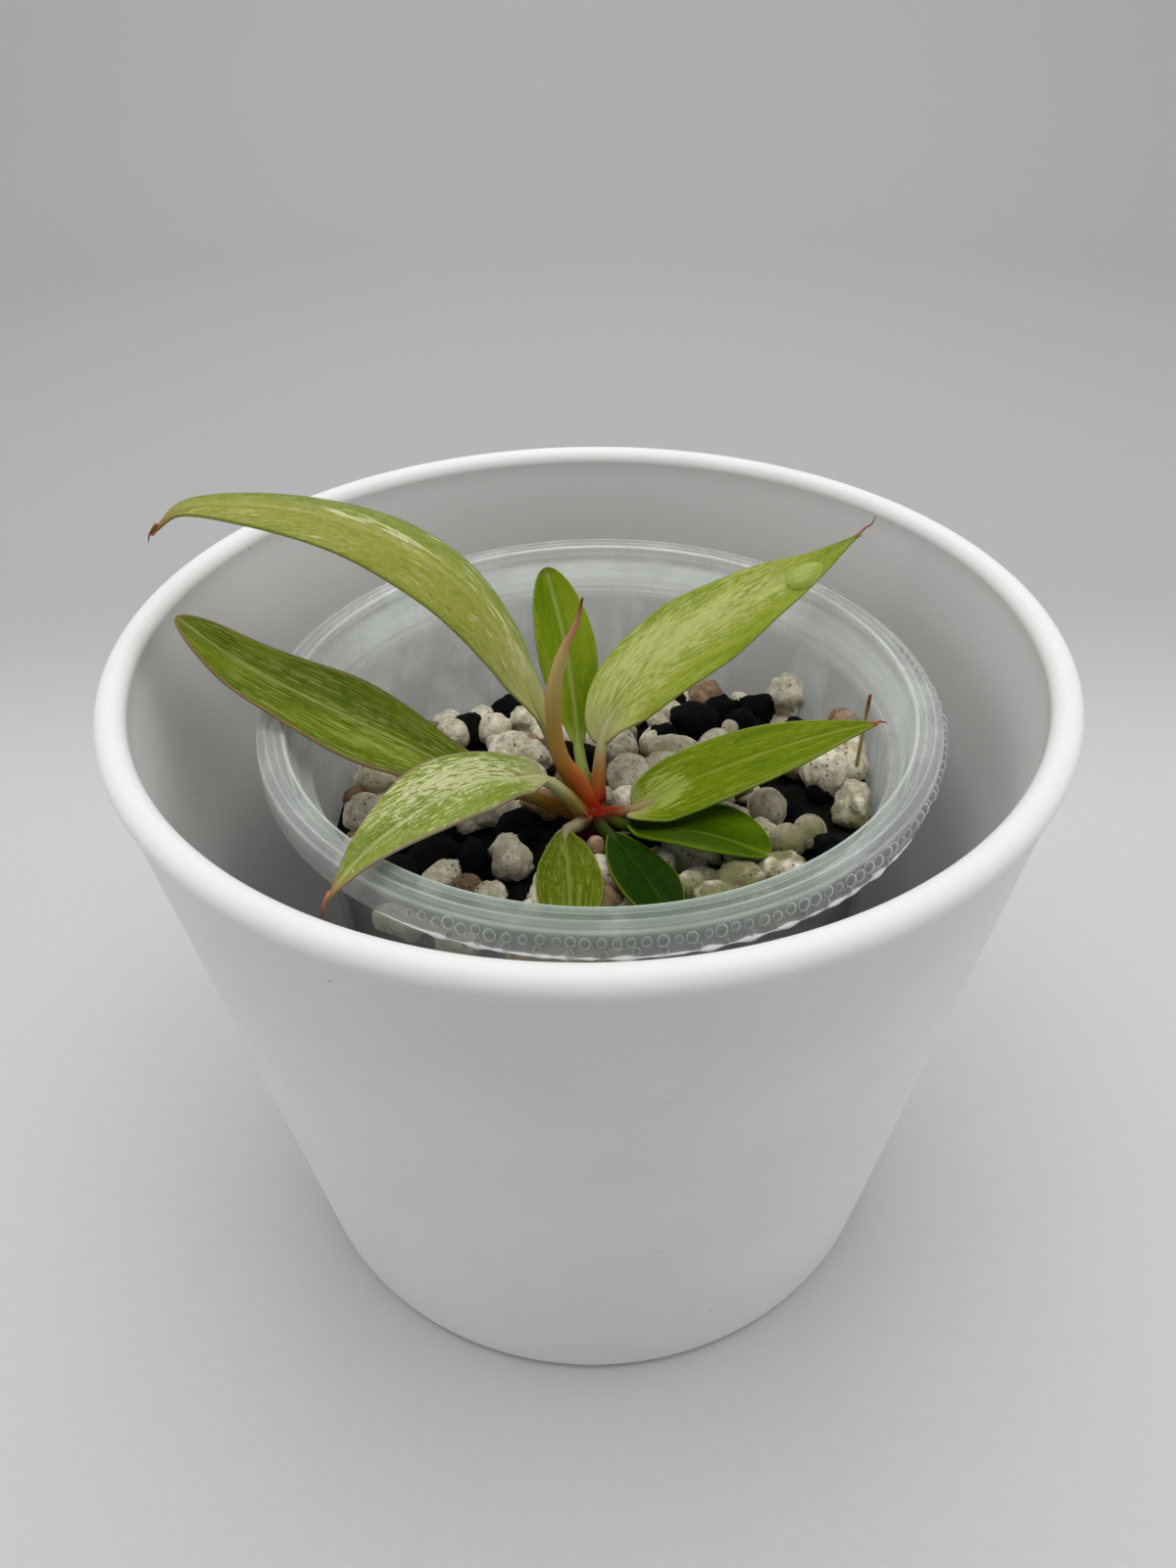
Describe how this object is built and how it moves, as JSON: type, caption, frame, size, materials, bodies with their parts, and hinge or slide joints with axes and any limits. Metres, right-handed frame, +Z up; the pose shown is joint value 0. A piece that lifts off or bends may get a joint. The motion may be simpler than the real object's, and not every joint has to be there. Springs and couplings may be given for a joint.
{
  "type": "potted strawberry caramel philodendron",
  "caption": "Young variegated philodendron in a clear tub of pumice and black grit, standing inside a white tapered pot.",
  "frame": {"origin": "middle of the pot's foot, on the surface the pot stands on", "axes": "+Z up; -Y towards the side that the reference picture was taken from; +X to that side's right"},
  "size_m": [0.16, 0.16, 0.1509],
  "materials": {
    "pot_white": "matte",
    "clear_plastic": "gloss",
    "pumice_mix": "matte",
    "stem": "satin",
    "young_leaf": "satin",
    "dry_plant": "matte",
    "leaf_variegated": "satin",
    "leaf_green": "satin"
  },
  "bodies": {
    "root": {"outer_pot": "pot_white", "inner_cup": "clear_plastic", "growing_mix": "pumice_mix", "crown_and_petioles": "stem", "new_leaf_spear": "young_leaf", "dry_stalk": "dry_plant", "leaf_1_arching_left": "leaf_variegated", "leaf_2_broad_left": "leaf_variegated", "leaf_3_cream_near_left": "leaf_variegated", "leaf_4_upright_back": "leaf_green", "leaf_5_pale_right": "leaf_variegated", "leaf_6_long_right": "leaf_variegated", "leaf_7_small_right": "leaf_green", "leaf_8_oval_front": "leaf_variegated", "leaf_9_dark_front": "leaf_green"}
  },
  "joints": []
}
